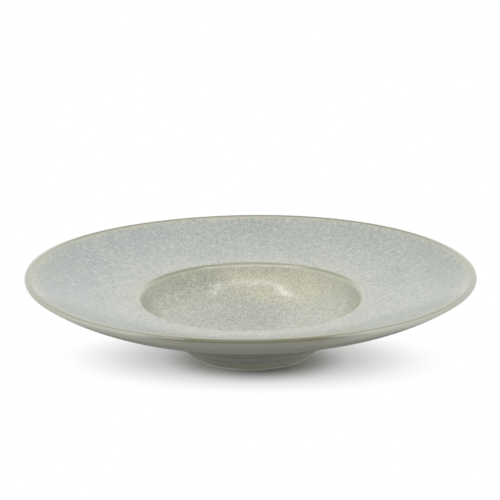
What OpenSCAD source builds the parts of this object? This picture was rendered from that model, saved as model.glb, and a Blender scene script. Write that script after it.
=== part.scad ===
// Wide-rimmed stoneware bowl with a dished rim, a round well and a turned foot.
// It is drawn as one half section, turned about the upright axis, with the table at height 0.
// The section starts in the middle of the floor, climbs the well, crosses the rim to the lip,
// and comes back below it to the foot and to the recess inside the foot.

/* [Rim] */
// Diameter over the glazed lip
rim_d = 280; // [264:1:310]
// Height of the lip's crest above the table
lip_h = 55; // [51:0.5:62]
// Thickness of the clay where the rim leaves the well
rim_t = 7; // [5:0.25:8.5]
// Slope of the rim's face where it leaves the well, in degrees
rim_slope = 3; // [0:0.5:8]
// Slope of the rim's face just inside the lip, in degrees
lip_slope = 25; // [19:0.5:30]
// Slope of the rim's underside where it leaves the well, in degrees
root_slope = 5; // [2:0.5:10]
// Slope of the rim's underside just behind the lip, in degrees
under_slope = 38; // [32:0.5:44]

/* [Lip] */
// Radius of the glazed lip, on its crest and on its edge
lip_r = 1.1; // [0.9:0.05:1.5]
// How far the crest lies in from the edge
crest_in = 3; // [2.2:0.1:3.8]
// How much lower the edge is rounded than the crest
edge_drop = 0.4; // [0:0.05:0.8]

/* [Well] */
// Diameter of the well over its shoulder, where the rim's face begins
well_d = 146; // [134:1:158]
// Height of the shoulder above the table
shoulder_h = 37; // [34:0.5:41]
// Radius of the glazed shoulder
shoulder_r = 5; // [3:0.25:7]
// Slope of the well's wall just below the shoulder, in degrees
mouth_slope = 62; // [54:1:68]
// Width of the clay across the shoulder, from the well's wall to the root of the rim
shoulder_w = 10.5; // [9:0.25:12]
// Thickness of the clay in the middle of the floor
floor_t = 5.25; // [4.5:0.25:7]
// Radius of the corner between the rim's underside and the outer wall
root_r = 8; // [5:0.5:11]
// Slope of the outer wall just below that corner, in degrees
wall_slope = 51; // [45:1:57]

/* [Foot] */
// Diameter of the foot where it meets the table
foot_d = 76.4; // [70:0.2:82]
// Width of the foot's flat bottom
foot_w = 5; // [3.5:0.25:7]
// Height of the foot ring, up to the seat where it is joined under the body
foot_h = 4; // [3:0.1:5]
// Diameter of the heel, the crease where the foot's sloping side runs into the outer wall
heel_d = 92.8; // [88:0.2:97]
// Height of the heel above the table
heel_h = 7.3; // [6.2:0.1:8.2]
// Slope of the outer wall just above the heel, in degrees
heel_slope = 33; // [28:1:37]
// Slope of the foot's inner side, in degrees
inside_slope = 75; // [66:1:84]
// Radius of the foot's bottom edges
foot_edge_r = 0.8; // [0.5:0.05:1]
// How much higher than the seat the recess inside the foot is turned
recess_cut = 1.2; // [1:0.05:2]
// Radius of the recess's corner
recess_r = 1.2; // [0.9:0.05:1.3]

/* [Glaze] */
// Thickness of the glaze
glaze_t = 0.5; // [0.3:0.05:0.7]
// Height of the bare clay left round the foot's bottom
bare_h = 0.9; // [0.8:0.05:1.6]

/* [Hidden] */
$fn = 180;
// Largest turn between two stations of a round stretch, in degrees, and steps of a smooth curve
turn_step = 8;
curve_steps = 18;
// How far a curve runs on along the slope at its start and at its end, in shares of its chord
well_shares = [0.66, 0.29];
rim_shares = [0.36, 0.36];
under_shares = [0.28, 0.34];
wall_shares = [0.35, 0.35];

// Headings are in degrees: 0 runs outwards, 90 upwards, and slope - 180 inwards and down that slope.
level_back = -180;
edge_heading = -90;

// Unit vectors along a heading, and square to it on the left, where the air is
function ahead(heading) = [cos(heading), sin(heading)];
function side(heading) = [-sin(heading), cos(heading)];

// A station is a place on the section with the heading in which the section runs there.
function station(place, heading) = [place[0], place[1], heading];
function place(station) = [station[0], station[1]];
function places(stations, lift = 0) = [for (s = stations) place(s) + lift * side(s[2])];
function reversed(list) = [for (i = [len(list) - 1:-1:0]) list[i]];
function without_last(list) = [for (i = [0:len(list) - 2]) list[i]];

// Round stretch about a centre, without its first station. A hollow one has a negative radius.
function round_part(centre, radius, from, to) =
    let (steps = ceil(abs(to - from) / turn_step))
    [for (i = [1:steps])
        let (heading = from + (to - from) * i / steps)
        station(centre + radius * side(heading), heading)];

// Point of a cubic curve and the way it runs there, at share t of its run between its four poles
function curve_place(poles, t) =
    pow(1 - t, 3) * poles[0] + 3 * pow(1 - t, 2) * t * poles[1]
    + 3 * (1 - t) * pow(t, 2) * poles[2] + pow(t, 3) * poles[3];
function curve_run(poles, t) =
    pow(1 - t, 2) * (poles[1] - poles[0]) + 2 * (1 - t) * t * (poles[2] - poles[1])
    + pow(t, 2) * (poles[3] - poles[2]);

// Smooth stretch between two stations that keeps both headings, without its first station
function curve_part(from, to, shares) =
    let (
        chord = norm(place(to) - place(from)),
        poles = [
            place(from),
            place(from) + shares[0] * chord * ahead(from[2]),
            place(to) - shares[1] * chord * ahead(to[2]),
            place(to)
        ]
    )
    [for (i = [1:curve_steps])
        let (run = curve_run(poles, i / curve_steps))
        station(curve_place(poles, i / curve_steps), atan2(run[1], run[0]))];

// Place reached from another along a heading, at a given height
function at_height(place, heading, height) =
    place + ahead(heading) * (height - place[1]) / sin(heading);

// Lip: the crest and the edge are rounded about two centres, with a short flat between them.
rim_r = rim_d / 2;
clay_lip_r = lip_r - glaze_t;
crest_c = [rim_r - crest_in, lip_h - lip_r];
edge_c = [rim_r - lip_r, lip_h - lip_r - edge_drop];
bevel = atan2(edge_c[1] - crest_c[1], edge_c[0] - crest_c[0]);
crest_start = station(crest_c + clay_lip_r * side(lip_slope), lip_slope);
edge_start = station(edge_c + clay_lip_r * side(bevel), bevel);
edge_mid = station(edge_c + clay_lip_r * side(edge_heading), edge_heading);
edge_end = station(edge_c + clay_lip_r * side(under_slope - 180), under_slope - 180);

// Shoulder: the glaze and the clay under it are rounded about the same centre.
clay_shoulder_r = shoulder_r - glaze_t;
shoulder_c = [well_d / 2, shoulder_h] - shoulder_r * side(rim_slope);
mouth = station(shoulder_c + clay_shoulder_r * side(mouth_slope), mouth_slope);
shoulder_end = station(shoulder_c + clay_shoulder_r * side(rim_slope), rim_slope);

// Root: the hollow corner under the shoulder, where the rim's underside turns down into the wall
root_start = station([mouth[0] + shoulder_w, shoulder_h - glaze_t - rim_t], root_slope - 180);
root_c = place(root_start) + root_r * side(root_start[2]);
root_end = station(root_c - root_r * side(wall_slope - 180), wall_slope - 180);

// Foot: the outer side runs straight from the heel, past the seat, to the ring's rounded edge.
foot_r = foot_d / 2;
foot_edge_c = [foot_r, foot_edge_r];
heel = station([heel_d / 2, heel_h], heel_slope - 180);
to_edge = foot_edge_c - place(heel);
foot_heading = atan2(to_edge[1], to_edge[0]) + asin(foot_edge_r / norm(to_edge));
heel_corner = station(place(heel), (heel[2] + foot_heading) / 2);
seat_outer = at_height(place(heel), foot_heading, foot_h);
outer_bare = station(at_height(place(heel), foot_heading, bare_h), foot_heading);

// Recess: the foot's inner side leans in as it rises, and is rounded into the flat top.
inside_heading = level_back - inside_slope;
inner_edge_c = [foot_r - foot_w, foot_edge_r];
inner_start = inner_edge_c + foot_edge_r * side(inside_heading);
seat_inner = at_height(inner_start, inside_heading, foot_h);
inner_bare = station(at_height(inner_start, inside_heading, bare_h), inside_heading);
recess_z = foot_h + recess_cut;
recess_start_z = recess_z - recess_r * (1 + cos(inside_heading));
recess_start = station(at_height(inner_start, inside_heading, recess_start_z), inside_heading);
recess_c = place(recess_start) + recess_r * side(inside_heading);
recess_mid = station([0, recess_z], level_back);

// Stretches of the clay's surface, from the middle of the floor round to the middle of the recess
floor_mid = station([0, recess_z + floor_t], 0);
face = concat(
    [floor_mid],
    curve_part(floor_mid, mouth, well_shares),
    round_part(shoulder_c, clay_shoulder_r, mouth_slope, rim_slope),
    curve_part(shoulder_end, crest_start, rim_shares),
    round_part(crest_c, clay_lip_r, lip_slope, bevel),
    [edge_start],
    round_part(edge_c, clay_lip_r, bevel, edge_heading)
);
outside = concat(
    [edge_mid],
    round_part(edge_c, clay_lip_r, edge_heading, under_slope - 180),
    curve_part(edge_end, root_start, under_shares),
    round_part(root_c, -root_r, root_start[2], root_end[2]),
    without_last(curve_part(root_end, heel, wall_shares)),
    [heel_corner]
);
foot_bottom = concat(
    [station(foot_edge_c + foot_edge_r * side(foot_heading), foot_heading)],
    round_part(foot_edge_c, foot_edge_r, foot_heading, level_back),
    [station([foot_r - foot_w, 0], level_back)],
    round_part(inner_edge_c, foot_edge_r, level_back, inside_heading)
);
recess = concat(
    [recess_start],
    round_part(recess_c, -recess_r, inside_heading, level_back),
    [recess_mid]
);

// Coat of even thickness on a stretch of the clay
module coat(stations) {
    rotate_extrude() polygon(concat(places(stations, glaze_t), reversed(places(stations))));
}

// Formed clay: floor, well and rim, with a flat seat for the foot and the recess turned inside it
module clay_body() {
    color("#bfb7a5")
        rotate_extrude()
            polygon(concat(places(face), places(outside), [seat_outer, seat_inner], places(recess)));
}

// Ring of clay joined under the body, on which the bowl stands
module foot_ring() {
    color("#bbb3a0")
        rotate_extrude()
            polygon(concat([seat_outer], places(foot_bottom), [seat_inner]));
}

// Speckled glaze poured over the well and the rim, as far as the outermost line of the lip
module face_glaze() {
    color("#bec1b3") coat(face);
}

// Plain glaze from the lip under the rim, down the wall and over the foot's side
module outside_glaze() {
    color("#82816f") coat(concat(outside, [outer_bare]));
}

// The same plain glaze inside the foot, over the recess and down the foot's inner side
module recess_glaze() {
    color("#7d7c6b") coat(concat([inner_bare], recess));
}

clay_body();
foot_ring();
face_glaze();
outside_glaze();
recess_glaze();
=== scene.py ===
"""Wide-rimmed stoneware bowl: speckled reactive glaze on its face, plain sage glaze outside."""

import logging
import math
from dataclasses import dataclass
from enum import Enum
from typing import Any

import bpy
import numpy as np
from mathutils import Matrix, Vector


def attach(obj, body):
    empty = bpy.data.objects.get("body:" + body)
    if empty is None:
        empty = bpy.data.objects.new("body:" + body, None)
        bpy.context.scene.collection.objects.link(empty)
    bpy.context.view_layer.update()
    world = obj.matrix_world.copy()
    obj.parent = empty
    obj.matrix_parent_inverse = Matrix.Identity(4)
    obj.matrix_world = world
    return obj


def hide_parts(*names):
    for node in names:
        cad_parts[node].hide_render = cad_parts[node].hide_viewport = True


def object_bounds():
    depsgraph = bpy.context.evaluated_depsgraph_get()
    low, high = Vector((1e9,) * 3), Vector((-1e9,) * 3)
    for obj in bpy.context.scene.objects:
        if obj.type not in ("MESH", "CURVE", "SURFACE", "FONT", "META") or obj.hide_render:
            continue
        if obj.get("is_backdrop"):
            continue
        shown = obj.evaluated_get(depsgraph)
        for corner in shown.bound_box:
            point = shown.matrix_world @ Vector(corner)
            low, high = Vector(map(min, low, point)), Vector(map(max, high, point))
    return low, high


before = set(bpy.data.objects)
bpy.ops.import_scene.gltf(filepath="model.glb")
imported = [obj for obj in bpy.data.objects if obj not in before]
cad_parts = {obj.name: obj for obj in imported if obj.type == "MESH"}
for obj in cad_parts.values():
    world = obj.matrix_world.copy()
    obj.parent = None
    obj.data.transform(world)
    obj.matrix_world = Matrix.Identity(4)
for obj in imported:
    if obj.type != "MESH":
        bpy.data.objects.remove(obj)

CAD_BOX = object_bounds()
MM = 0.001
ON_AXIS = 1e-6
WHITE = (1.0, 1.0, 1.0, 1.0)
Tree = bpy.types.NodeTree
Socket = bpy.types.NodeSocket
log = logging.getLogger("bowl")


class Slot(Enum):
    """Material slots of the record."""

    STONEWARE = "stoneware"
    SPECKLED = "speckled_glaze"
    SAGE = "sage_glaze"


class End(Enum):
    """How a shell ends: cut off, rolled like melted glaze, or solid and closed by its own outline."""

    CUT = "cut"
    ROLLED = "rolled"
    SOLID = "solid"


def linear(code: str) -> tuple[float, float, float, float]:
    """Turns an sRGB hex colour into a linear one.

    Args:
        code: Colour as "#rrggbb".

    Returns:
        Red, green, blue and alpha, linear, by the sRGB curve.
    """
    levels = [int(code[i : i + 2], 16) / 255 for i in (1, 3, 5)]
    turned = [c / 12.92 if c <= 0.04045 else ((c + 0.055) / 1.055) ** 2.4 for c in levels]
    return (*turned, 1.0)


def add(tree: Tree, kind: str, inputs: dict[Any, Any] | None = None, **settings: Any) -> bpy.types.Node:
    """Adds a node with its settings and links.

    Args:
        tree: Node tree that gets the node.
        kind: Type name of the node without its leading "ShaderNode".
        inputs: Value or source socket for each named or numbered input.
        **settings: Properties of the node itself.

    Returns:
        The new node.
    """
    node = tree.nodes.new("ShaderNode" + kind)
    for name, value in settings.items():
        setattr(node, name, value)
    for name, value in (inputs or {}).items():
        if isinstance(value, Socket):
            tree.links.new(value, node.inputs[name])
        else:
            node.inputs[name].default_value = value
    return node


def blank(block: bpy.types.Material | bpy.types.World) -> Tree:
    """Gives a material or a world an empty node tree.

    Args:
        block: The material or the world.

    Returns:
        The tree.
    """
    block.use_nodes = True
    block.node_tree.nodes.clear()
    return block.node_tree


def ahead(heading: np.ndarray | float) -> np.ndarray:
    """Unit vector along a heading in degrees: (cos h, sin h)."""
    return np.stack([np.cos(np.radians(heading)), np.sin(np.radians(heading))], axis=-1)


def side(heading: np.ndarray | float) -> np.ndarray:
    """Unit vector square to a heading, on the left where the air is: (-sin h, cos h)."""
    return np.stack([-np.sin(np.radians(heading)), np.cos(np.radians(heading))], axis=-1)


def station(place: np.ndarray, heading: float) -> np.ndarray:
    """One place on the section with the heading in which it runs there: (r, z, h)."""
    return np.array([place[0], place[1], heading])


def round_part(centre: np.ndarray, radius: float, start: float, end: float, step: float = 3.0) -> np.ndarray:
    """Stations of a round stretch, p(h) = centre + radius * side(h), without the first one.

    Args:
        centre: Centre of the round, in millimetres.
        radius: Its radius, negative where the stretch is hollow.
        start: Heading where it starts, in degrees.
        end: Heading where it ends, in degrees.
        step: Largest turn between two stations, in degrees.

    Returns:
        Array of stations (r, z, h).
    """
    count = max(2, math.ceil(abs(end - start) / step))
    headings = start + (end - start) * np.arange(1, count + 1) / count
    return np.column_stack([centre + radius * side(headings), headings])


def curve_part(start: np.ndarray, end: np.ndarray, shares: tuple[float, float], count: int) -> np.ndarray:
    """Stations of the smooth stretch between two stations, without the first one.

    The stretch is the cubic p(t) = (1-t)^3 a + 3(1-t)^2 t b + 3(1-t) t^2 c + t^3 d, where b and c lie
    ahead of a and behind d by the shares of the chord, so both headings are kept.

    Args:
        start: Station where it starts.
        end: Station where it ends.
        shares: Run along the first and the last heading, in shares of the chord.
        count: Number of steps.

    Returns:
        Array of stations (r, z, h).
    """
    a, d = start[:2], end[:2]
    chord = np.linalg.norm(d - a)
    b, c = a + shares[0] * chord * ahead(start[2]), d - shares[1] * chord * ahead(end[2])
    t = (np.arange(1, count + 1) / count)[:, None]
    places = (1 - t) ** 3 * a + 3 * (1 - t) ** 2 * t * b + 3 * (1 - t) * t**2 * c + t**3 * d
    runs = (1 - t) ** 2 * (b - a) + 2 * (1 - t) * t * (c - b) + t**2 * (d - c)
    headings = np.degrees(np.arctan2(runs[:, 1], runs[:, 0]))
    headings = start[2] + (headings - start[2] + 180) % 360 - 180
    return np.column_stack([places, headings])


def straight_part(start: np.ndarray, end: np.ndarray, heading: float, count: int) -> np.ndarray:
    """Stations p(t) = (1-t) a + t b of a straight stretch, without the first one.

    Args:
        start: Place where it starts.
        end: Place where it ends.
        heading: Heading of the stretch, in degrees.
        count: Number of steps.

    Returns:
        Array of stations (r, z, h).
    """
    t = (np.arange(1, count + 1) / count)[:, None]
    places = (1 - t) * start[:2] + t * end[:2]
    return np.column_stack([places, np.full(count, heading)])


@dataclass(frozen=True)
class Section:
    """Half section of the fired clay, in millimetres and degrees, with the table at height 0.

    A name's last letter tells a diameter, height, thickness, width or radius. The rim runs from its
    root at the well's shoulder to the lip, which is rounded on its crest and on its edge. The heel is
    the crease where the foot's side runs into the outer wall, and foot_h is the height of the foot
    ring's seat. Radii of lip and shoulder include the glaze. Shares say how far a curve runs on along
    its slopes. The crest lies crest_in from the edge and edge_drop higher, shoulder_w goes from the
    well's wall to the root, and the recess is turned recess_cut higher than the seat. The clay is bare
    up to bare_h. The last two fields number the steps up the foot's glazed side and its inner side.
    """

    rim_d: float = 280.0
    lip_h: float = 55.0
    rim_t: float = 7.0
    rim_slope: float = 3.0
    lip_slope: float = 25.0
    root_slope: float = 5.0
    under_slope: float = 38.0
    lip_r: float = 1.1
    crest_in: float = 3.0
    edge_drop: float = 0.4
    well_d: float = 146.0
    shoulder_h: float = 37.0
    shoulder_r: float = 5.0
    mouth_slope: float = 62.0
    shoulder_w: float = 10.5
    floor_t: float = 5.25
    root_r: float = 8.0
    wall_slope: float = 51.0
    foot_d: float = 76.4
    foot_w: float = 5.0
    foot_h: float = 4.0
    heel_d: float = 92.8
    heel_h: float = 7.3
    heel_slope: float = 33.0
    inside_slope: float = 75.0
    foot_edge_r: float = 0.8
    recess_cut: float = 1.2
    recess_r: float = 1.2
    glaze_t: float = 0.5
    bare_h: float = 0.9
    well_shares: tuple[float, float] = (0.66, 0.29)
    rim_shares: tuple[float, float] = (0.36, 0.36)
    under_shares: tuple[float, float] = (0.28, 0.34)
    wall_shares: tuple[float, float] = (0.35, 0.35)
    side_steps: int = 16
    inside_steps: int = 10

    def lip_centres(self) -> tuple[np.ndarray, np.ndarray, float]:
        """Centres of the rounded crest and edge, and the heading of the flat between them.

        Returns:
            Two places in millimetres, and a heading in degrees.
        """
        crest = np.array([self.rim_d / 2 - self.crest_in, self.lip_h - self.lip_r])
        edge = np.array([self.rim_d / 2 - self.lip_r, self.lip_h - self.lip_r - self.edge_drop])
        flat = edge - crest
        return crest, edge, math.degrees(math.atan2(flat[1], flat[0]))

    def shoulder(self) -> tuple[np.ndarray, float]:
        """Centre of the rounded shoulder, and the radius of its clay."""
        centre = np.array([self.well_d / 2, self.shoulder_h]) - self.shoulder_r * side(self.rim_slope)
        return centre, self.shoulder_r - self.glaze_t

    def face(self) -> np.ndarray:
        """Stations from the middle of the floor up the well and over the rim to the lip's edge.

        Returns:
            Array of stations (r, z, h).
        """
        clay_r = self.lip_r - self.glaze_t
        crest, edge, flat = self.lip_centres()
        shoulder, turn_r = self.shoulder()
        floor = station(np.array([0.0, self.foot_h + self.recess_cut + self.floor_t]), 0.0)
        mouth = station(shoulder + turn_r * side(self.mouth_slope), self.mouth_slope)
        over = station(shoulder + turn_r * side(self.rim_slope), self.rim_slope)
        rise = station(crest + clay_r * side(self.lip_slope), self.lip_slope)
        return np.vstack([
            floor,
            curve_part(floor, mouth, self.well_shares, count=44),
            round_part(shoulder, turn_r, self.mouth_slope, self.rim_slope),
            curve_part(over, rise, self.rim_shares, count=40),
            round_part(crest, clay_r, self.lip_slope, flat),
            station(edge + clay_r * side(flat), flat),
            round_part(edge, clay_r, flat, -90.0),
        ])

    def foot_heading(self) -> float:
        """Heading of the straight side from the heel down to the foot's rounded edge.

        Returns:
            Heading in degrees.
        """
        away = np.array([self.foot_d / 2, self.foot_edge_r]) - np.array([self.heel_d / 2, self.heel_h])
        lean = math.asin(self.foot_edge_r / np.linalg.norm(away))
        return math.degrees(math.atan2(away[1], away[0]) + lean)

    def down_side(self, height: float) -> np.ndarray:
        """Place on the foot's sloping side at a height."""
        way = ahead(self.foot_heading())
        return np.array([self.heel_d / 2, self.heel_h]) + way * (height - self.heel_h) / way[1]

    def up_inside(self, height: float) -> np.ndarray:
        """Place on the foot's inner side at a height.

        Args:
            height: Height over the table, in millimetres.

        Returns:
            Place (r, z) in millimetres.
        """
        heading = -180 - self.inside_slope
        start = np.array([self.foot_d / 2 - self.foot_w, self.foot_edge_r]) + self.foot_edge_r * side(heading)
        return start + ahead(heading) * (height - start[1]) / ahead(heading)[1]

    def outside(self) -> np.ndarray:
        """Stations from the lip's edge under the rim, down the wall and the foot to the bare clay.

        Returns:
            Array of stations (r, z, h).
        """
        clay_r = self.lip_r - self.glaze_t
        _, edge, _ = self.lip_centres()
        shoulder, turn_r = self.shoulder()
        mouth = shoulder + turn_r * side(self.mouth_slope)
        start = station(edge + clay_r * side(-90.0), -90.0)
        back = station(edge + clay_r * side(self.under_slope - 180), self.under_slope - 180)
        under = np.array([mouth[0] + self.shoulder_w, self.shoulder_h - self.glaze_t - self.rim_t])
        root = station(under, self.root_slope - 180)
        hollow = root[:2] + self.root_r * side(root[2])
        wall = station(hollow - self.root_r * side(self.wall_slope - 180), self.wall_slope - 180)
        heel = station(np.array([self.heel_d / 2, self.heel_h]), self.heel_slope - 180)
        down = self.foot_heading()
        corner = station(heel[:2], (heel[2] + down) / 2)
        return np.vstack([
            start,
            round_part(edge, clay_r, -90.0, back[2]),
            curve_part(back, root, self.under_shares, count=44),
            round_part(hollow, -self.root_r, root[2], wall[2], step=4.0),
            curve_part(wall, heel, self.wall_shares, count=24)[:-1],
            corner,
            straight_part(corner, self.down_side(self.bare_h), down, count=self.side_steps),
        ])

    def foot_bottom(self) -> np.ndarray:
        """Stations round the foot ring's bottom, from its seat outside to its seat inside.

        Returns:
            Array of stations (r, z, h).
        """
        radius, inside = self.foot_edge_r, -180 - self.inside_slope
        outer = np.array([self.foot_d / 2, radius])
        inner = np.array([self.foot_d / 2 - self.foot_w, radius])
        down = self.foot_heading()
        return np.vstack([
            station(self.down_side(self.foot_h), down),
            straight_part(self.down_side(self.foot_h), outer + radius * side(down), down, count=4),
            round_part(outer, radius, down, -180.0, step=8.0),
            straight_part(np.array([outer[0], 0.0]), np.array([inner[0], 0.0]), -180.0, count=6),
            round_part(inner, radius, -180.0, inside, step=8.0),
            straight_part(inner + radius * side(inside), self.up_inside(self.foot_h), inside, count=4),
        ])

    def body(self) -> np.ndarray:
        """Stations all round the clay body, from the middle of the floor to the middle of the recess.

        Returns:
            Array of stations (r, z, h).
        """
        return np.vstack([
            self.face()[:-1],
            self.outside()[: -self.side_steps],
            station(self.down_side(self.foot_h), self.foot_heading()),
            station(self.up_inside(self.foot_h), -180 - self.inside_slope),
            self.recess()[self.inside_steps :],
        ])

    def recess(self) -> np.ndarray:
        """Stations up the foot's inner side and over the recess to its middle.

        Returns:
            Array of stations (r, z, h).
        """
        inside, top = -180 - self.inside_slope, self.foot_h + self.recess_cut
        start = self.up_inside(top - self.recess_r * (1 + math.cos(math.radians(inside))))
        hollow = start + self.recess_r * side(inside)
        bare = station(self.up_inside(self.bare_h), inside)
        return np.vstack([
            bare,
            straight_part(bare, start, inside, count=self.inside_steps),
            round_part(hollow, -self.recess_r, inside, -180.0, step=6.0),
            straight_part(np.array([hollow[0], top]), np.array([0.0, top]), -180.0, count=12),
        ])


LIP_RADIUS = Section.rim_d / 2


@dataclass(frozen=True)
class Unevenness:
    """How far the formed and fired bowl strays from a perfect turning, in millimetres.

    Attributes:
        level: Mean rise of the lip.
        waves: Rise of the lip round the bowl, a cosine and a sine part for one wave, two waves and so on.
        still: Radius within which the bowl stands flat on its foot.
        glaze_line: Reach of the wander of the glaze's lower line.
        ripples: Waves of that wander round the foot, each with its phase in radians.
    """

    level: float = 0.08
    waves: tuple[tuple[float, float], ...] = (
        (-0.46, -0.15),
        (0.36, -0.03),
        (-0.31, 0.31),
        (0.13, -0.06),
    )
    still: float = 46.0
    glaze_line: float = 0.16
    ripples: tuple[tuple[int, float], ...] = ((5, 0.0), (9, 1.0), (17, 3.0))

    def shift(self, radius: np.ndarray, angle: np.ndarray) -> np.ndarray:
        """Rise of the surface, dz = w(r) * (level + sum of (c_k cos ka + s_k sin ka)).

        Its share of the lip's rise is w(r) = ((r - still) / (lip's radius - still))^2, and 0 within still.

        Args:
            radius: Radius of each point, in millimetres.
            angle: Angle of each point round the axis, in radians.

        Returns:
            Rise of each point, in millimetres.
        """
        turns = np.arange(1, len(self.waves) + 1)[:, None] * np.ravel(angle)[None, :]
        parts = np.array(self.waves)
        lip = self.level + parts[:, 0] @ np.cos(turns) + parts[:, 1] @ np.sin(turns)
        return np.clip((radius - self.still) / (LIP_RADIUS - self.still), 0.0, None) ** 2 * lip

    def line(self, angle: np.ndarray) -> np.ndarray:
        """Wander of the glaze's lower line, glaze_line times the mean of cos(k a + phase)."""
        ripples = sum(np.cos(count * angle + phase) for count, phase in self.ripples)
        return self.glaze_line * ripples / len(self.ripples)


@dataclass(frozen=True)
class RolledEnd:
    """Form in which the melted glaze stopped, in millimetres.

    Attributes:
        width: Length over which it rises from its last line.
        bead: Rise of the low bead behind that, as a share of the coat.
        bead_back: How far the bead lies behind the line.
        bead_width: Half the bead's width, where it has fallen to 1/e.
        least: Thickness at the line itself.
        loose: Length over which the line's wander dies out.
    """

    width: float = 0.7
    bead: float = 0.16
    bead_back: float = 1.3
    bead_width: float = 0.8
    least: float = 0.02
    loose: float = 6.0


@dataclass
class Shell:
    """A closed shell turned round the axis from stations of the section.

    Attributes:
        name: Name of the piece.
        stations: Air side of the shell, as stations (r, z, h) in millimetres.
        depth: Thickness of the shell under its air side, in millimetres.
        end: How its last station ends.
        around: Number of steps round the axis.
        lift: Height of the air side over the stations, in millimetres.
        back_step: Number of the air side's steps that one step of the back spans.
        roll: Form of a rolled end.
        uneven: Unevenness that every piece of the bowl shares.
    """

    name: str
    stations: np.ndarray
    depth: float
    end: End = End.CUT
    around: int = 360
    lift: float = 0.0
    back_step: int = 3
    roll: RolledEnd = RolledEnd()
    uneven: Unevenness = Unevenness()

    def heights(self) -> np.ndarray:
        """Height of the glaze over the clay at each station.

        A rolled end rises as a quarter round, t * sqrt(1 - (1 - d/w)^2) within w of the end. The coat is
        thicker by the share b * exp(-((d - p) / s)^2) in a low bead at p behind it.

        Returns:
            Array of heights in millimetres.
        """
        height = np.full(len(self.stations), self.lift)
        if self.end is End.ROLLED:
            roll = self.roll
            run = self.run()
            left = run[-1] - run
            round_off = np.sqrt(np.clip(1 - np.clip(1 - left / roll.width, 0, 1) ** 2, 0, 1))
            bead = 1 + roll.bead * np.exp(-(((left - roll.bead_back) / roll.bead_width) ** 2))
            height = np.maximum(self.lift * round_off * bead, roll.least)
        return height

    def run(self) -> np.ndarray:
        """Length along the section from its first station, in millimetres."""
        steps = np.linalg.norm(np.diff(self.stations[:, :2], axis=0), axis=1)
        return np.concatenate([[0.0], np.cumsum(steps)])

    def loop(self) -> tuple[np.ndarray, list[int]]:
        """Outline of the shell, air side first and then its back, and the rows where it is creased.

        Returns:
            Array of places (r, z), and the numbers of the rows whose rings stay sharp.
        """
        if self.end is End.SOLID:
            return self.stations[:, :2], []
        sides = side(self.stations[:, 2])
        front = self.stations[:, :2] + self.heights()[:, None] * sides
        back = self.stations[::-1, :2] + (self.lift - self.depth) * sides[::-1]
        keep = np.unique(np.concatenate([np.arange(0, len(back), self.back_step), [len(back) - 1]]))
        creases = [0, len(front), len(front) + len(keep) - 1]
        if self.end is End.CUT:
            creases.append(len(front) - 1)
        return np.vstack([front, back[keep]]), creases

    def build(self) -> bpy.types.Object:
        """Turns the outline round the axis and closes its poles.

        The grid is p(i, j) = (r_i cos a_j, r_i sin a_j, z_i) with a_j = 2 pi j / around. A row on the
        axis is one vertex with triangles about it, and no face runs along the axis.

        Returns:
            The new object, at the origin.
        """
        outline, creases = self.loop()
        steps = np.arange(self.around)
        angle = 2 * np.pi * steps / self.around
        r, z = np.repeat(outline[:, :, None], self.around, axis=2).transpose(1, 0, 2)
        if self.end is End.ROLLED:
            r, z = self.wander(r, z, angle)
        z = z + self.uneven.shift(r, angle)
        on_axis = outline[:, 0] < ON_AXIS
        kept = ~on_axis[:, None] | (steps == 0)
        vertices = np.stack([r * np.cos(angle), r * np.sin(angle), z], axis=-1)[kept] * MM
        counts = np.where(on_axis, 1, self.around)
        index = (np.cumsum(counts) - counts)[:, None] + np.where(on_axis[:, None], 0, steps)
        after = np.roll(index, -1, axis=0)
        joined = ~(on_axis & np.roll(on_axis, -1))
        a, b = index[joined], after[joined]
        quads = np.stack([a, b, np.roll(b, -1, axis=1), np.roll(a, -1, axis=1)], axis=-1).reshape(-1, 4)
        first, last = quads[:, 0] == quads[:, 3], quads[:, 1] == quads[:, 2]
        poles = quads[first, :3].tolist() + quads[last][:, [0, 1, 3]].tolist()
        faces = quads[~first & ~last].tolist() + poles
        return self.to_object(vertices, faces, index[creases].ravel())

    def wander(self, r: np.ndarray, z: np.ndarray, angle: np.ndarray) -> tuple[np.ndarray, np.ndarray]:
        """Lets the glaze's last line rise and fall round the foot.

        Each point near the end moves back along the end's heading by w(d) * (reach - line(a)), with
        w = (1 - d / loose)^2 for its distance d from the end. The back's first row goes with it.

        Args:
            r: Radii of the grid.
            z: Heights of the grid.
            angle: Angles round the axis.

        Returns:
            The moved radii and heights.
        """
        run = self.run()
        weight = np.clip(1 - (run[-1] - run) / self.roll.loose, 0, 1) ** 2
        rows = np.concatenate([weight, [1.0], np.zeros(len(r) - len(run) - 1)])
        way = ahead(self.stations[-1, 2])
        step = rows[:, None] * (self.uneven.line(angle) - self.uneven.glaze_line)
        return r + step * way[0], z + step * way[1]

    def to_object(
        self, vertices: np.ndarray, faces: list[list[int]], creased: np.ndarray
    ) -> bpy.types.Object:
        """Puts the shell into a mesh, smooth but for its creased rings.

        Args:
            vertices: Places of the vertices, in metres.
            faces: Corners of the faces.
            creased: Numbers of the vertices on the creased rings.

        Returns:
            The new object.
        """
        mesh = bpy.data.meshes.new(self.name)
        mesh.from_pydata(vertices.tolist(), [], faces)
        mesh.polygons.foreach_set("use_smooth", np.ones(len(mesh.polygons), dtype=bool))
        on_ring = np.zeros(len(vertices), dtype=bool)
        on_ring[creased] = True
        ends = np.empty(len(mesh.edges) * 2, dtype=np.int32)
        mesh.edges.foreach_get("vertices", ends)
        sharp = on_ring[ends.reshape(-1, 2)].all(axis=1)
        mesh.attributes.new("sharp_edge", "BOOLEAN", "EDGE").data.foreach_set("value", sharp)
        piece = bpy.data.objects.new(self.name, mesh)
        bpy.context.scene.collection.objects.link(piece)
        return piece


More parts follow.
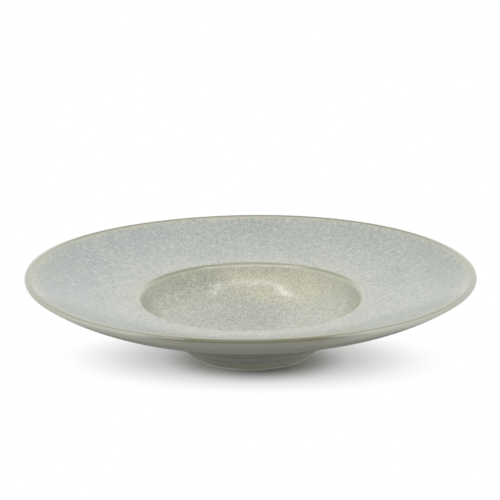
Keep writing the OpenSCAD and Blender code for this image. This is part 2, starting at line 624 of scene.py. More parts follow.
class Along(Enum):
    """What a level on a surface runs along, with lengths in metres."""

    X = "to the right"
    Y = "to the back"
    HEIGHT = "over the table"
    RADIUS = "from the axis"
    ASIDE = "to either side"
    CORNER = "to either side, times to the back"
    WARM_WAY = "toward the warm part of the well"
    RINGS = "radius as a share of the lip's"
    PATCHES = "noise of the cream patches"
    CLOUDS = "noise of the clouds"
    GRIT = "noise of the sand"
    GRAINS = "noise of the iron grains"
    COVER = "share that the flecks take by the radius"
    AMOUNT = "share that the flecks take at a place"
    ABOVE = "noise over the bar, in widths of a fleck's edge"
    FLECKS = "level of the flecks"


class Ease(Enum):
    """How a level passes between its marks, and whether it stays level beyond them."""

    SOFT = ("SMOOTHSTEP", True)
    STRAIGHT = ("LINEAR", True)
    OPEN = ("LINEAR", False)


STRAIGHT = Ease.STRAIGHT
Measures = dict[Along, Socket]


@dataclass(frozen=True)
class Reach:
    """Stretch of a measure over which a level changes.

    Attributes:
        along: The measure.
        start: Mark at which the level leaves its low value.
        end: Mark at which it comes to its high value, on either side of the start.
        low: Level before the start.
        high: Level beyond the end.
        ease: How it passes between the marks.
    """

    along: Along
    start: float
    end: float
    low: float = 0.0
    high: float = 1.0
    ease: Ease = Ease.SOFT

    def level(self, tree: Tree, at: Measures) -> Socket:
        """Level at each place.

        Args:
            tree: Node tree of the material.
            at: Sockets of the measures.

        Returns:
            The level's socket.
        """
        kind, stops = self.ease.value
        marks = {0: at[self.along], 1: self.start, 2: self.end, 3: self.low, 4: self.high}
        return add(tree, "MapRange", marks, interpolation_type=kind, clamp=stops).outputs[0]


@dataclass(frozen=True)
class Rings:
    """Colour or plain level over the radius.

    Attributes:
        stops: Radii in millimetres from the middle outward, each with its hex colour or its level.
    """

    stops: tuple[tuple[float, str | float], ...]

    def level(self, tree: Tree, at: Measures) -> Socket:
        """Colour or level at each place.

        Args:
            tree: Node tree of the material.
            at: Sockets of the measures.

        Returns:
            Its socket.
        """
        node = add(tree, "ValToRGB", {0: at[Along.RINGS]})
        elements = node.color_ramp.elements
        for i, (radius, value) in enumerate(self.stops):
            element = elements[i] if i < 2 else elements.new(radius / LIP_RADIUS)
            element.position = radius / LIP_RADIUS
            element.color = linear(value) if isinstance(value, str) else (value, value, value, 1.0)
        return node.outputs[0]


Parts = tuple[Reach | Rings, ...]


def overlap(tree: Tree, at: Measures, parts: Parts) -> Socket:
    """Level where several levels overlap, as their product.

    Args:
        tree: Node tree of the material.
        at: Sockets of the measures.
        parts: The levels.

    Returns:
        The product's socket.
    """
    level = parts[0].level(tree, at)
    for part in parts[1:]:
        level = add(tree, "Math", {0: level, 1: part.level(tree, at)}, operation="MULTIPLY").outputs[0]
    return level


@dataclass(frozen=True)
class Veil:
    """Change of colour over a part of the bowl.

    Attributes:
        colour: Colour that it changes to, plain or over the radius.
        parts: Levels whose overlap says how far it changes.
    """

    colour: str | Rings
    parts: Parts

    def over(self, tree: Tree, at: Measures, base: Socket | tuple[float, ...]) -> Socket:
        """Lays the veil over a colour.

        Args:
            tree: Node tree of the material.
            at: Sockets of the measures.
            base: Colour under the veil.

        Returns:
            Socket of the changed colour.
        """
        shade = self.colour.level(tree, at) if isinstance(self.colour, Rings) else linear(self.colour)
        layers = {0: overlap(tree, at, self.parts), 6: base, 7: shade}
        return add(tree, "Mix", layers, data_type="RGBA").outputs[2]


def veiled(tree: Tree, at: Measures, base: Socket | tuple[float, ...], veils: tuple[Veil, ...]) -> Socket:
    """Colour under several veils, which are laid one after another.

    Args:
        tree: Node tree of the material.
        at: Sockets of the measures.
        base: Colour under the veils.
        veils: The veils, lowest first.

    Returns:
        Socket of the changed colour.
    """
    for veil in veils:
        base = veil.over(tree, at, base)
    return base


@dataclass(frozen=True)
class Grain:
    """Pattern of spots in a glaze or in clay.

    Attributes:
        size: Spacing of the spots, in millimetres.
        detail: Octaves of finer spots in it.
        roughness: Strength of each finer octave.
        cells: Cells of the noise in one spacing.
    """

    size: float
    detail: float
    roughness: float = 0.5
    cells: float = 1.5

    def inputs(self, spot: Socket) -> dict[str, Any]:
        """Inputs of the noise that draws the pattern at a place."""
        scale = self.cells / (self.size * MM)
        return {"Vector": spot, "Scale": scale, "Detail": self.detail, "Roughness": self.roughness}


@dataclass(frozen=True)
class Finish:
    """What the bowl's fired finishes share.

    Attributes:
        name: Name of the material.
        bump: Share of the finish's fine relief that the light shows.
        relief: Height of that relief, in millimetres.
        ior: Refraction of glaze and of the glass in fired clay.
    """

    name: str
    bump: float
    relief: float
    ior: float = 1.5

    def look(self, tree: Tree, spot: Socket) -> tuple[Socket, Socket | float, Socket]:
        """Draws what tells the finish from the others.

        Args:
            tree: Node tree of the material.
            spot: Place on the surface, by Object coordinates.

        Returns:
            Its colour, its roughness and its relief.
        """
        raise NotImplementedError

    def make(self) -> bpy.types.Material:
        """Builds the material.

        Returns:
            The material.
        """
        material = bpy.data.materials.new(self.name)
        tree = blank(material)
        colour, roughness, relief = self.look(tree, add(tree, "TexCoord").outputs["Object"])
        bump = add(tree, "Bump", {"Strength": self.bump, "Distance": self.relief * MM, "Height": relief})
        shading = {"Base Color": colour, "Roughness": roughness, "IOR": self.ior, "Normal": bump.outputs[0]}
        shader = add(tree, "BsdfPrincipled", shading)
        add(tree, "OutputMaterial", {0: shader.outputs[0]})
        return material


# Levels that parts of the speckled glaze share: the well, the rim, the far sides where shade is painted, and
# the flecked part.
IN_WELL = Reach(Along.RADIUS, 0.066, 0.072, 1.0, 0.0, STRAIGHT)
ON_RIM = Reach(Along.RADIUS, 0.080, 0.110, ease=STRAIGHT)
# Painted shade: toward both far ends the rim and the lip are painted darker.
PAINTED_SHADE_ASIDE = Reach(Along.ASIDE, 0.100, 0.128, high=0.45)
FLECKED = Reach(Along.COVER, 0.0, 0.15, ease=STRAIGHT)
# Blue that pools in clouds on the rim, most at the left, and ends short of the lip.
BLUE_POOLS = (
    Reach(Along.CLOUDS, 0.40, 0.60, 0.25, 0.75, STRAIGHT),
    Reach(Along.X, 0.06, -0.10, 0.30, 0.85, STRAIGHT),
    ON_RIM,
    Reach(Along.RADIUS, 0.129, 0.133, 1.0, 0.0, STRAIGHT),
)
# Warm cream on the well's far wall, from a little left of the middle to the right.
WARM_WALL = (
    Reach(Along.WARM_WAY, 0.043, 0.057, high=0.90),
    IN_WELL,
    Reach(Along.X, -0.034, -0.016),
    Reach(Along.X, 0.034, 0.056, 1.0, 0.6),
)


@dataclass(frozen=True)
class SpeckledGlaze(Finish):
    """Reactive stoneware glaze, poured and fired to about 1220 C.

    Crystals and iron flecks float up in the melt, so the eye gets a fine blue-grey mottle in a cream
    ground. The glaze runs off the lip and the shoulder, so there it is thin, plain and olive. Some of
    its veils are painted shade and painted sheen.

    Attributes:
        ground, fleck: Colour between the flecks, and of the flecks.
        cover: Share of the surface that the flecks take.
        edge: Width of a fleck's soft edge, as a share of the noise's range.
        lip: Colour where the glaze runs off the crest and the edge of the lip. Its pale grey toward the edge
            is partly a painted reflection of the white surroundings.
        fine, patches, clouds: Patterns of the flecks, the cream patches and the wide blue clouds.
        peel: Ripple of the glossy surface.
        warm_way: Direction from the axis toward the warm part of the well.
        sway: How far the rings of the rim stray with the patches.
        pushed: How far they lie further out in front, and at the back on both sides.
        sparse: How much less the flecks cover toward the right of the well.
        crowds: How much they thicken or thin out by clouds and by patches.
        bar: Height of the noise over which a fleck shows, for the share that flecks take.
        rounding: How the level rises over a fleck's edge.
        ground_veils: Painted shade as an olive band at the back of the shoulder, blue pools, painted
        shade as a greener, darker near part, the warm wall, cream patches, painted shade at both far
        ends, and a painted sheen on the near rim.
        fleck_veils: The same blue and warmth in the flecks.
        lip_veils: A thin dark line near the edge in front and one within the crest at the back, painted
        shade at both far ends, and the olive break in the very front.
        bare: Where the glaze has run thin and lost its flecks.
        pitting: Rise of a fleck against the ripple. It is a dip.
        gloss, lip_gloss: Roughness between the flecks and on them, and of the lip.
    """

    name: str = "reactive_speckled_glaze"
    bump: float = 0.15
    relief: float = 0.06
    ground: Rings = Rings((
        (0, "#bec2b7"), (42, "#c0c4b7"), (58, "#c3c5b7"), (63.0, "#c1c3b3"), (66.0, "#b9bbaa"),
        (68.4, "#b5b6a4"), (69.6, "#bcbdaa"), (72.5, "#bcbeb0"), (76.0, "#bec0b5"),
        (105, "#bcbfb5"), (131.5, "#b5b8ac"), (133.6, "#b8b9a7"),
    ))
    fleck: Rings = Rings((
        (0, "#999d96"), (42, "#9a9e95"), (58, "#9ea194"),
        (66, "#999c8f"), (76, "#9aa09b"), (130, "#959b97"),
    ))
    cover: Rings = Rings((
        (0, 0.47), (64.0, 0.48), (68.6, 0.42), (70.0, 0.0), (71.2, 0.0), (72.6, 0.42),
        (90, 0.46), (129, 0.50), (132.6, 0.42), (134.4, 0.04), (135.2, 0.0),
    ))
    edge: Rings = Rings(((66, 0.07), (78, 0.085)))
    # Toward the edge the lip is pale grey, partly a painted reflection of the white surroundings.
    lip: Rings = Rings(((135.0, "#b3b3a2"), (136.6, "#b1b19f"), (138.0, "#a9a999"), (139.4, "#b6b6aa")))
    fine: Grain = Grain(1.15, 1.5, 0.6, cells=1.6)
    patches: Grain = Grain(5.0, 2.0, 0.6)
    clouds: Grain = Grain(60.0, 3.0)
    peel: Grain = Grain(2.2, 3.0, 0.6)
    warm_way: tuple[float, float, float] = (0.34, 0.94, 0.0)
    sway: Reach = Reach(Along.PATCHES, 0.3, 0.7, -0.016, 0.016, Ease.OPEN)
    pushed: tuple[Reach, Reach] = (
        Reach(Along.Y, -0.100, -0.130, high=0.011),
        Reach(Along.CORNER, 0.003, 0.008, high=0.009),
    )
    sparse: Parts = (Reach(Along.X, 0.0, 0.055, high=0.12), IN_WELL)
    crowds: tuple[Reach, Reach] = (
        Reach(Along.CLOUDS, 0.35, 0.65, -0.04, 0.04, STRAIGHT),
        Reach(Along.PATCHES, 0.3, 0.7, 0.12, -0.12, STRAIGHT),
    )
    bar: Reach = Reach(Along.AMOUNT, 0.0, 1.0, 0.74, 0.26, STRAIGHT)
    rounding: Reach = Reach(Along.ABOVE, -0.5, 0.5)
    ground_veils: tuple[Veil, ...] = (
        # The glaze runs thin and olive over the shoulder; painted dark at the back only, this band is also
        # painted shade.
        Veil("#888a71", (
            Rings(((69.4, 0.0), (70.1, 0.85), (71.5, 0.85), (72.3, 0.0))),
            Reach(Along.Y, 0.010, 0.045),
        )),
        Veil("#b4bab9", BLUE_POOLS),
        # Painted shade: the near part of the glaze is painted greener and darker.
        Veil("#b5b7a4", (Reach(Along.Y, -0.01, -0.105, high=0.6),)),
        Veil("#d3d0bb", WARM_WALL),
        Veil("#cdccb8", (Reach(Along.PATCHES, 0.58, 0.68, high=0.45), FLECKED)),
        # Painted shade: the ground is painted darker toward both far ends of the rim.
        Veil("#a6aa9f", (PAINTED_SHADE_ASIDE,)),
        # Painted sheen: the near rim is painted paler, for the sheen of its glaze seen at a low angle.
        Veil("#c9cab9", (Reach(Along.Y, -0.086, -0.112, high=0.65),)),
    )
    fleck_veils: tuple[Veil, ...] = (Veil("#92999f", BLUE_POOLS), Veil("#b3b09c", WARM_WALL))
    lip_veils: tuple[Veil, ...] = (
        Veil("#7d7e6d", (
            Rings(((137.7, 0.0), (138.2, 1.0), (138.6, 1.0), (139.2, 0.0))),
            Reach(Along.Y, -0.030, -0.100, high=0.8),
        )),
        Veil("#7d7e6d", (
            Rings(((134.6, 0.0), (135.4, 0.9), (137.2, 0.9), (138.2, 0.4))),
            Reach(Along.Y, 0.020, 0.090, high=0.8),
        )),
        # Painted shade: the lip is painted darker toward both far ends.
        Veil("#a2a392", (PAINTED_SHADE_ASIDE,)),
        Veil(
            Rings(((136.0, "#b8b8a6"), (137.5, "#a6a693"), (138.5, "#76755d"), (139.5, "#6a6952"))),
            (Reach(Along.Y, -0.124, -0.137),),
        ),
    )
    bare: Reach = Reach(Along.RADIUS, 0.1345, 0.1360, ease=STRAIGHT)
    pitting: float = -0.25
    gloss: Reach = Reach(Along.FLECKS, 0.0, 1.0, 0.17, 0.21, STRAIGHT)
    lip_gloss: float = 0.09

    def measures(self, tree: Tree, spot: Socket) -> Measures:
        """Measures that the glaze's levels run along.

        Args:
            tree: Node tree of the material.
            spot: Place on the surface.

        Returns:
            Their sockets.
        """
        across = add(tree, "SeparateXYZ", {0: spot}).outputs
        flat = add(tree, "VectorMath", {0: spot, 1: (1, 1, 0)}, operation="MULTIPLY").outputs[0]
        radius = add(tree, "VectorMath", {0: flat}, operation="LENGTH").outputs["Value"]
        aside = add(tree, "Math", {0: across["X"]}, operation="ABSOLUTE").outputs[0]
        corner = add(tree, "Math", {0: aside, 1: across["Y"]}, operation="MULTIPLY").outputs[0]
        warm = add(tree, "VectorMath", {0: spot, 1: self.warm_way}, operation="DOT_PRODUCT").outputs["Value"]
        return {
            Along.X: across["X"],
            Along.Y: across["Y"],
            Along.RADIUS: radius,
            Along.ASIDE: aside,
            Along.CORNER: corner,
            Along.WARM_WAY: warm,
            Along.RINGS: add(tree, "Math", {0: radius, 1: LIP_RADIUS * MM}, operation="DIVIDE").outputs[0],
            Along.PATCHES: add(tree, "TexNoise", self.patches.inputs(spot)).outputs[0],
            Along.CLOUDS: add(tree, "TexNoise", self.clouds.inputs(spot)).outputs[0],
        }

    def strayed(self, tree: Tree, at: Measures) -> Socket:
        """Share of the radius by which the rings are drawn, strayed from true circles.

        It is radius + sway * on rim - pushed, each as a share of the lip's radius.

        Args:
            tree: Node tree of the material.
            at: Sockets of the true measures.

        Returns:
            The share's socket.
        """
        stray = {0: self.sway.level(tree, at), 1: ON_RIM.level(tree, at), 2: at[Along.RINGS]}
        share = add(tree, "Math", stray, operation="MULTIPLY_ADD").outputs[0]
        for push in self.pushed:
            share = add(tree, "Math", {0: share, 1: push.level(tree, at)}, operation="SUBTRACT").outputs[0]
        return share

    def flecks(self, tree: Tree, at: Measures, spot: Socket) -> Socket:
        """Level of the flecks, which is 1 on a fleck and 0 between them.

        The flecks' share is cover - sparse + crowds, and a fleck shows where the fine noise rises over
        the bar for that share. The measures of the three steps are added to the others.

        Args:
            tree: Node tree of the material.
            at: Sockets of the measures.
            spot: Place on the surface.

        Returns:
            The level's socket.
        """
        taken = {0: self.cover.level(tree, at), 1: overlap(tree, at, self.sparse)}
        at[Along.COVER] = add(tree, "Math", taken, operation="SUBTRACT").outputs[0]
        by_clouds, by_patches = (crowd.level(tree, at) for crowd in self.crowds)
        crowd = add(tree, "Math", {0: by_clouds, 1: by_patches}, operation="ADD").outputs[0]
        crowded = {0: crowd, 1: FLECKED.level(tree, at), 2: at[Along.COVER]}
        at[Along.AMOUNT] = add(tree, "Math", crowded, operation="MULTIPLY_ADD").outputs[0]
        noise = add(tree, "TexNoise", self.fine.inputs(spot)).outputs[0]
        above = add(tree, "Math", {0: noise, 1: self.bar.level(tree, at)}, operation="SUBTRACT").outputs[0]
        width = self.edge.level(tree, at)
        at[Along.ABOVE] = add(tree, "Math", {0: above, 1: width}, operation="DIVIDE").outputs[0]
        return self.rounding.level(tree, at)

    def look(self, tree: Tree, spot: Socket) -> tuple[Socket, Socket | float, Socket]:
        """Draws the flecks in their ground, and the thin glaze of the lip over both.

        Args:
            tree: Node tree of the material.
            spot: Place on the surface, by Object coordinates.

        Returns:
            Its colour, its roughness and its relief.
        """
        true = self.measures(tree, spot)
        at = true | {Along.RINGS: self.strayed(tree, true)}
        at[Along.FLECKS] = self.flecks(tree, at, spot)
        ground = veiled(tree, at, self.ground.level(tree, at), self.ground_veils)
        fleck = veiled(tree, at, self.fleck.level(tree, at), self.fleck_veils)
        body = add(tree, "Mix", {0: at[Along.FLECKS], 6: ground, 7: fleck}, data_type="RGBA").outputs[2]
        lip = veiled(tree, true, self.lip.level(tree, true), self.lip_veils)
        bare = self.bare.level(tree, at)
        colour = add(tree, "Mix", {0: bare, 6: body, 7: lip}, data_type="RGBA").outputs[2]
        gloss = add(tree, "Mix", {0: bare, 2: self.gloss.level(tree, at), 3: self.lip_gloss}).outputs[0]
        ripple = add(tree, "TexNoise", self.peel.inputs(spot)).outputs[0]
        dipped = {0: at[Along.FLECKS], 1: self.pitting, 2: ripple}
        relief = add(tree, "Math", dipped, operation="MULTIPLY_ADD").outputs[0]
        return colour, gloss, relief


@dataclass(frozen=True)
class SageGlaze(Finish):
    """Plain sage stoneware glaze, dipped and fired to about 1220 C.

    It melts to a smooth glossy coat. It is painted darker and a little greener down the wall, which is
    painted shade, and paler over the heel, above the bare foot and toward the lip, which is painted
    light. Iron from the clay comes through as a few small specks.

    Attributes:
        colour, thick: Colour of the coat, and the darker colour that mottle and painted shade turn it to.
        clouds, grains, peel: Patterns of its slow mottle, its iron specks and its glossy ripple.
        mottle: Strength of the mottle, half up and half down.
        painted_shade: Painted shade that darkens the coat from under the lip down the wall.
        root: How much of that painted shade is taken back between the heel and the rim's underside, which is
            painted light in that corner.
        foot_painted_light: Painted light over the heel and above the bare foot.
        lip, near_lip: Paler colour toward the lip, which is painted light from the sides, and where the coat
            turns to it.
        painted_light_side: How far it does, more at the right.
        front, painted_light_front: Where it does so less in front, and how far it does there.
        last_veils: The thin olive break at the lip in the very front, and the specks.
        gloss: Roughness of the coat.
    """

    name: str = "dipped_sage_glaze"
    bump: float = 0.25
    relief: float = 0.05
    colour: str = "#757564"
    # Darker colour of the coat, for its mottle and for painted shade down the wall.
    shade_and_mottle: str = "#646556"
    clouds: Grain = Grain(22.0, 4.0, 0.55)
    grains: Grain = Grain(1.3, 1.0)
    peel: Grain = Grain(3.0, 2.0)
    mottle: float = 0.5
    # Painted shade: the coat is painted darker from under the lip down the wall.
    painted_shade: Reach = Reach(Along.HEIGHT, 0.050, 0.032, ease=STRAIGHT)
    # Painted light: part of the painted shade is taken back between the heel and the rim's underside, to lift
    # the shade of that corner.
    root: tuple[Reach, Reach] = (
        Reach(Along.HEIGHT, 0.0172, 0.0210, high=0.62, ease=STRAIGHT),
        Reach(Along.HEIGHT, 0.038, 0.032, ease=STRAIGHT),
    )
    # Painted light: the coat is painted paler over the heel and above the bare foot.
    foot_painted_light: tuple[Veil, Veil] = (
        Veil("#989783", (
            Reach(Along.HEIGHT, 0.0160, 0.0180, high=0.28, ease=STRAIGHT),
            Reach(Along.HEIGHT, 0.0235, 0.0208, ease=STRAIGHT),
        )),
        Veil("#989783", (Reach(Along.HEIGHT, 0.0078, 0.0066, ease=STRAIGHT),)),
    )
    # Painted light: the outside is painted paler toward the lip, more at the sides and at the right, less in
    # front.
    lip: str = "#bbbcad"
    near_lip: Reach = Reach(Along.HEIGHT, 0.0448, 0.0530)
    painted_light_side: Reach = Reach(Along.X, -0.10, 0.10, 0.75, 1.0, STRAIGHT)
    front: Reach = Reach(Along.Y, -0.120, -0.137)
    painted_light_front: float = 0.20
    last_veils: tuple[Veil, Veil] = (
        Veil("#5c5b45", (Reach(Along.HEIGHT, 0.0527, 0.0533, high=0.10), Reach(Along.Y, -0.130, -0.1385))),
        Veil("#5d5c4c", (Reach(Along.GRAINS, 0.69, 0.78, high=0.6),)),
    )
    gloss: float = 0.2

    def look(self, tree: Tree, spot: Socket) -> tuple[Socket, Socket | float, Socket]:
        """Draws the coat with its painted shade down the wall and its painted light from the heel up to the
        lip.

        Args:
            tree: Node tree of the material.
            spot: Place on the surface, by Object coordinates.

        Returns:
            Its colour, its roughness and its relief.
        """
        across = add(tree, "SeparateXYZ", {0: spot}).outputs
        grains = add(tree, "TexNoise", self.grains.inputs(spot)).outputs[0]
        at = {Along.X: across["X"], Along.Y: across["Y"], Along.HEIGHT: across["Z"], Along.GRAINS: grains}
        # Painted shade down the wall, less the painted light of the root.
        painted_shade = {0: self.painted_shade.level(tree, at), 1: overlap(tree, at, self.root)}
        painted_shade = add(tree, "Math", painted_shade, operation="SUBTRACT").outputs[0]
        clouds = add(tree, "TexNoise", self.clouds.inputs(spot)).outputs[0]
        mottle = {0: clouds, 1: self.mottle, 2: -self.mottle / 2}
        mottle = add(tree, "Math", mottle, operation="MULTIPLY_ADD").outputs[0]
        shade_and_mottle = add(tree, "Math", {0: mottle, 1: painted_shade}, operation="ADD", use_clamp=True).outputs[0]
        coat = {0: shade_and_mottle, 6: linear(self.colour), 7: linear(self.shade_and_mottle)}
        coat = veiled(tree, at, add(tree, "Mix", coat, data_type="RGBA").outputs[2], self.foot_painted_light)
        # Painted light toward the lip, by side and by front.
        pale = {0: self.front.level(tree, at), 2: self.painted_light_side.level(tree, at), 3: self.painted_light_front}
        pale = {0: add(tree, "Mix", pale).outputs[0], 1: self.near_lip.level(tree, at)}
        pale = add(tree, "Math", pale, operation="MULTIPLY").outputs[0]
        coat = add(tree, "Mix", {0: pale, 6: coat, 7: linear(self.lip)}, data_type="RGBA").outputs[2]
        ripple = add(tree, "TexNoise", self.peel.inputs(spot)).outputs[0]
        return veiled(tree, at, coat, self.last_veils), self.gloss, ripple


@dataclass(frozen=True)
class Stoneware(Finish):
    """Buff stoneware clay, sponged smooth at the foot and left bare.

    It is matte, with sand of 0.3 to 0.6 mm and a few iron grains in a fine body.

    Attributes:
        colour: Colour of the fine body.
        grit: Pattern of the sand, which is its relief too.
        grains: Pattern of the iron grains.
        veils: The sand and the iron grains.
        gloss: Roughness of the bare clay.
    """

    name: str = "sponged_stoneware"
    bump: float = 0.6
    relief: float = 0.08
    colour: str = "#e6e3d9"
    grit: Grain = Grain(0.6, 3.0, 0.65)
    grains: Grain = Grain(1.6, 2.0)
    veils: tuple[Veil, Veil] = (
        Veil("#ece9df", (Reach(Along.GRIT, 0.4, 0.65, ease=STRAIGHT),)),
        Veil("#857763", (Reach(Along.GRAINS, 0.68, 0.74),)),
    )
    gloss: float = 0.85

    def look(self, tree: Tree, spot: Socket) -> tuple[Socket, Socket | float, Socket]:
        """Draws the body with its sand and its iron grains.

        Args:
            tree: Node tree of the material.
            spot: Place on the surface, by Object coordinates.

        Returns:
            Its colour, its roughness and its relief.
        """
        grit = add(tree, "TexNoise", self.grit.inputs(spot)).outputs[0]
        grains = add(tree, "TexNoise", self.grains.inputs(spot)).outputs[0]
        at = {Along.GRIT: grit, Along.GRAINS: grains}
        return veiled(tree, at, linear(self.colour), self.veils), self.gloss, grit


@dataclass(frozen=True)
class Bowl:
    """The bowl: its clay, its foot ring and its three coats of glaze.

    Attributes:
        section: Sizes of its section.
        finishes: Finish of each slot.
        foot_depth: Thickness of the foot's shell, in millimetres.
        clay_around: Number of steps round the clay, which the other pieces cover.
    """

    section: Section = Section()
    finishes: tuple[tuple[Slot, Finish], ...] = (
        (Slot.SPECKLED, SpeckledGlaze()),
        (Slot.SAGE, SageGlaze()),
        (Slot.STONEWARE, Stoneware()),
    )
    foot_depth: float = 1.2
    clay_around: int = 180

    def shells(self) -> list[tuple[Shell, str, Slot]]:
        """The turned pieces, each with the node that it stands for and its slot.

        Returns:
            List of the three for each piece.
        """
        s = self.section
        coat = {"depth": s.glaze_t, "lift": s.glaze_t}
        clay = Shell("formed_clay", s.body(), depth=0.0, end=End.SOLID, around=self.clay_around)
        return [
            (Shell("speckled_face_coat", s.face(), **coat), "face_glaze", Slot.SPECKLED),
            (Shell("sage_outside_coat", s.outside(), end=End.ROLLED, **coat), "outside_glaze", Slot.SAGE),
            (Shell("sage_recess_coat", s.recess(), **coat), "recess_glaze", Slot.SAGE),
            (Shell("bare_foot", s.foot_bottom(), depth=self.foot_depth), "foot_ring", Slot.STONEWARE),
            (clay, "clay_body", Slot.STONEWARE),
        ]

    def build(self) -> None:
        """Builds and dresses every piece."""
        materials = {slot: finish.make() for slot, finish in self.finishes}
        for shell, node, slot in self.shells():
            piece = shell.build()
            piece.data.materials.append(materials[slot])
            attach(piece, "root")
            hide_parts(node)
            log.info("%s: %d faces", piece.name, len(piece.data.polygons))


@dataclass(frozen=True)
class Fade:
    """Oval on the table over which the table's look changes.

    Attributes:
        centre: Middle of the oval, in metres.
        turn: Turn of the oval, in radians.
        depth: Its size front to back as a share of its size left to right.
        start: Half its width where the change starts, in metres.
        end: Half its width where the change ends, in metres.
        share: Level beyond the end.
    """

    centre: tuple[float, float]
    turn: float
    depth: float
    start: float
    end: float
    share: float

    def level(self, tree: Tree, spot: Socket) -> Socket:
        """Level of the change: 0 inside the start and the share beyond the end.

        Args:
            tree: Node tree of the table's material.
            spot: Place on the table.

        Returns:
            The level's socket.
        """
        place = {
            0: spot,
            "Location": (*self.centre, 0.0),
            "Rotation": (0.0, 0.0, self.turn),
            "Scale": (1.0, self.depth, 1.0),
        }
        oval = add(tree, "Mapping", place, vector_type="TEXTURE").outputs[0]
        radius = add(tree, "VectorMath", {0: oval}, operation="LENGTH").outputs["Value"]
        return Reach(Along.RADIUS, self.start, self.end, high=self.share).level(tree, {Along.RADIUS: radius})


@dataclass(frozen=True)
class SoftBox:
    """Soft box a metre away that faces the bowl, with its depth running front to back.

    Attributes:
        name: Name of the lamp.
        way: Direction from the bowl to the lamp.
        width: Side that runs left to right, in metres.
        depth: Side that runs front to back, in metres.
        glow: Radiance of its face, where white paper in full light has 1. Power = pi * area * glow.
        lean: Turn of its depth about its own middle, in degrees.
    """

    name: str
    way: tuple[float, float, float]
    width: float
    depth: float
    glow: float
    lean: float = 0.0

    def build(self) -> None:
        """Adds the lamp."""
        data = bpy.data.lights.new(self.name, "AREA")
        data.shape = "RECTANGLE"
        data.size = self.width
        data.size_y = self.depth
        data.energy = math.pi * self.width * self.depth * self.glow
        holder = bpy.data.objects.new(self.name, data)
        bpy.context.scene.collection.objects.link(holder)
        place = Vector(self.way).normalized()
        right = Vector((0.0, 1.0, 0.0)).cross(place).normalized()
        turn = Matrix((right, place.cross(right), place)).transposed().to_4x4()
        lean = Matrix.Rotation(math.radians(self.lean), 4, "Z")
        holder.matrix_world = Matrix.Translation(place) @ turn @ lean


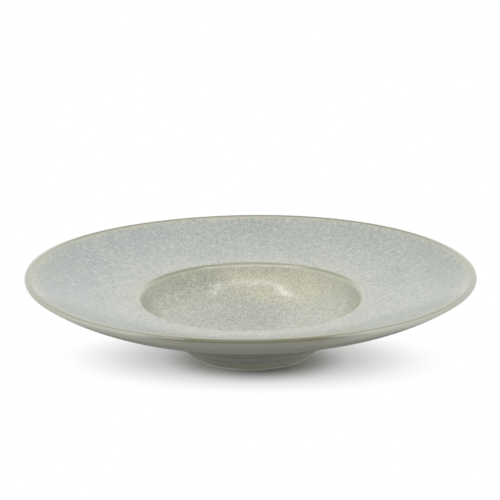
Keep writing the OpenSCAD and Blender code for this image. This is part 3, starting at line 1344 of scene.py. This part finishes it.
@dataclass(frozen=True)
class Studio:
    """Plain white sweep with two soft boxes and a paper above, and a camera at the photograph's angle.

    Attributes:
        distance: From the camera to its target, in metres.
        elevation: Of the camera over the table, in degrees.
        target: Height of the target on the axis, in metres.
        aside: How far camera and target stand to the right of the axis, in metres.
        roll: Turn of the camera about its view, in degrees.
        focal: Focal length over the image's width.
        sensor: Width of the camera's sensor, in millimetres.
        near_clip: Nearest distance that the camera sees, in metres.
        lamps: The lamps. The hollow well mirrors each soft box in its opposite side.
        sweep: Strength of the surroundings as light. The camera and gloss see them as 1.
        table_radius, table_sides, table_drop: Form of the table, and how far it lies below the foot.
        fades: Ovals over which the table's paint turns to the sweep's white for the camera.
        painted_shadow: Reflectance under the foot for the camera, a painted contact shadow that deepens the
            rendered one.
        contact: Oval over which that rises to the paint's own.
        paint: Reflectance of the paint.
        lit: How white the table glows for all other rays, a painted glow that stays dim close to the bowl,
            where its shadow lies.
    """

    distance: float = 0.750
    elevation: float = 15.40
    target: float = 0.0653
    aside: float = -0.0003
    roll: float = 0.41
    focal: float = 1196.97 / 500
    sensor: float = 36.0
    near_clip: float = 0.01
    lamps: tuple[SoftBox, ...] = (
        SoftBox("left_soft_box", (-0.325, 0.04, 0.946), 0.060, 0.58, 11.2, -5.0),
        SoftBox("right_soft_box", (0.390, -0.02, 0.915), 0.062, 0.56, 7.4, 12.0),
        SoftBox("paper_between", (0.0, -0.37, 0.93), 0.64, 0.26, 3.2),
    )
    sweep: float = 0.738
    table_radius: float = 3.0
    table_sides: int = 128
    table_drop: float = 0.00005
    fades: tuple[Fade, Fade] = (
        Fade((0.0020, -0.0188), -0.114, 0.724, 0.0272, 0.0616, 0.375),
        Fade((-0.0003, -0.0158), -0.062, 0.504, 0.0396, 0.1278, 0.625),
    )
    # Painted shadow: for the camera the paint is darker under the foot.
    painted_shadow: float = 0.42
    contact: Fade = Fade((0.0060, -0.0360), -0.05, 0.55, 0.0040, 0.0310, 0.42)
    paint: float = 0.84
    lit: Reach = Reach(Along.RADIUS, 0.13, 0.30, 0.15, 1.0, STRAIGHT)

    def camera(self) -> None:
        """Places the camera."""
        data = bpy.data.cameras.new("camera")
        data.sensor_width = self.sensor
        data.lens = self.sensor * self.focal
        data.clip_start = self.near_clip
        holder = bpy.data.objects.new("camera", data)
        bpy.context.scene.collection.objects.link(holder)
        lift = math.radians(self.elevation)
        target = Vector((self.aside, 0.0, self.target))
        place = target + self.distance * Vector((0.0, -math.cos(lift), math.sin(lift)))
        turn = (target - place).to_track_quat("-Z", "Y").to_matrix().to_4x4()
        roll = Matrix.Rotation(math.radians(-self.roll), 4, "Z")
        holder.matrix_world = Matrix.Translation(place) @ turn @ roll
        bpy.context.scene.camera = holder

    def world(self) -> None:
        """White surroundings, plain in strength for the light and white for the camera and in gloss."""
        world = bpy.data.worlds.new("white_sweep")
        bpy.context.scene.world = world
        tree = blank(world)
        path = add(tree, "LightPath").outputs
        seen = path["Is Camera Ray"]
        for other in ("Is Glossy Ray", "Is Transmission Ray"):
            seen = add(tree, "Math", {0: seen, 1: path[other]}, operation="ADD", use_clamp=True).outputs[0]
        strength = add(tree, "MapRange", {0: seen, 3: self.sweep, 4: 1.0}).outputs[0]
        shade = add(tree, "Background", {0: WHITE, 1: strength})
        add(tree, "OutputWorld", {0: shade.outputs[0]})

    def table_paint(self) -> bpy.types.Material:
        """White paint that keeps the bowl's shadow, deepened under the foot by a painted contact shadow, and
        turns to the sweep's white beyond it.

        Returns:
            The material.
        """
        material = bpy.data.materials.new("white_table")
        tree = blank(material)
        spot = add(tree, "TexCoord").outputs["Object"]
        seen = add(tree, "LightPath").outputs["Is Camera Ray"]
        near, far = (fade.level(tree, spot) for fade in self.fades)
        faded = add(tree, "Math", {0: near, 1: far}, operation="ADD").outputs[0]
        radius = add(tree, "VectorMath", {0: spot}, operation="LENGTH").outputs["Value"]
        # For rays other than the camera's the table glows: painted light, kept dim close to the bowl for its
        # shadow there.
        lit = self.lit.level(tree, {Along.RADIUS: radius})
        white = add(tree, "Mix", {0: seen, 2: lit, 3: faded}).outputs[0]
        # Painted contact shadow: darker paint under the foot for the camera.
        painted_shadow = {0: self.contact.level(tree, spot), 1: self.painted_shadow}
        painted_shadow = add(tree, "Math", painted_shadow, operation="ADD").outputs[0]
        reflectance = add(tree, "Mix", {0: seen, 2: self.paint, 3: painted_shadow}).outputs[0]
        paint = add(tree, "BsdfDiffuse", {0: reflectance}).outputs[0]
        glow = add(tree, "Emission", {0: WHITE, 1: 1.0}).outputs[0]
        both = add(tree, "MixShader", {0: white, 1: paint, 2: glow}).outputs[0]
        add(tree, "OutputMaterial", {0: both})
        return material

    def floor(self) -> None:
        """Lays the table."""
        place = (0, 0, -self.table_drop)
        bpy.ops.mesh.primitive_circle_add(
            vertices=self.table_sides, radius=self.table_radius, fill_type="NGON", location=place
        )
        floor = bpy.context.object
        floor.name = "table"
        floor.data.materials.append(self.table_paint())
        floor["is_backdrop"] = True

    def build(self) -> None:
        """Builds the studio."""
        self.camera()
        for lamp in self.lamps:
            lamp.build()
        self.world()
        self.floor()
        bpy.context.scene.view_settings.view_transform = "Standard"
        log.info("studio ready")


def main() -> None:
    """Builds the bowl and the studio."""
    logging.basicConfig(level=logging.INFO, format="%(name)s: %(message)s")
    Bowl().build()
    Studio().build()
    boxes = [[[float(c) for c in corner] for corner in box] for box in (CAD_BOX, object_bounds())]


if __name__ == "__main__":
    main()
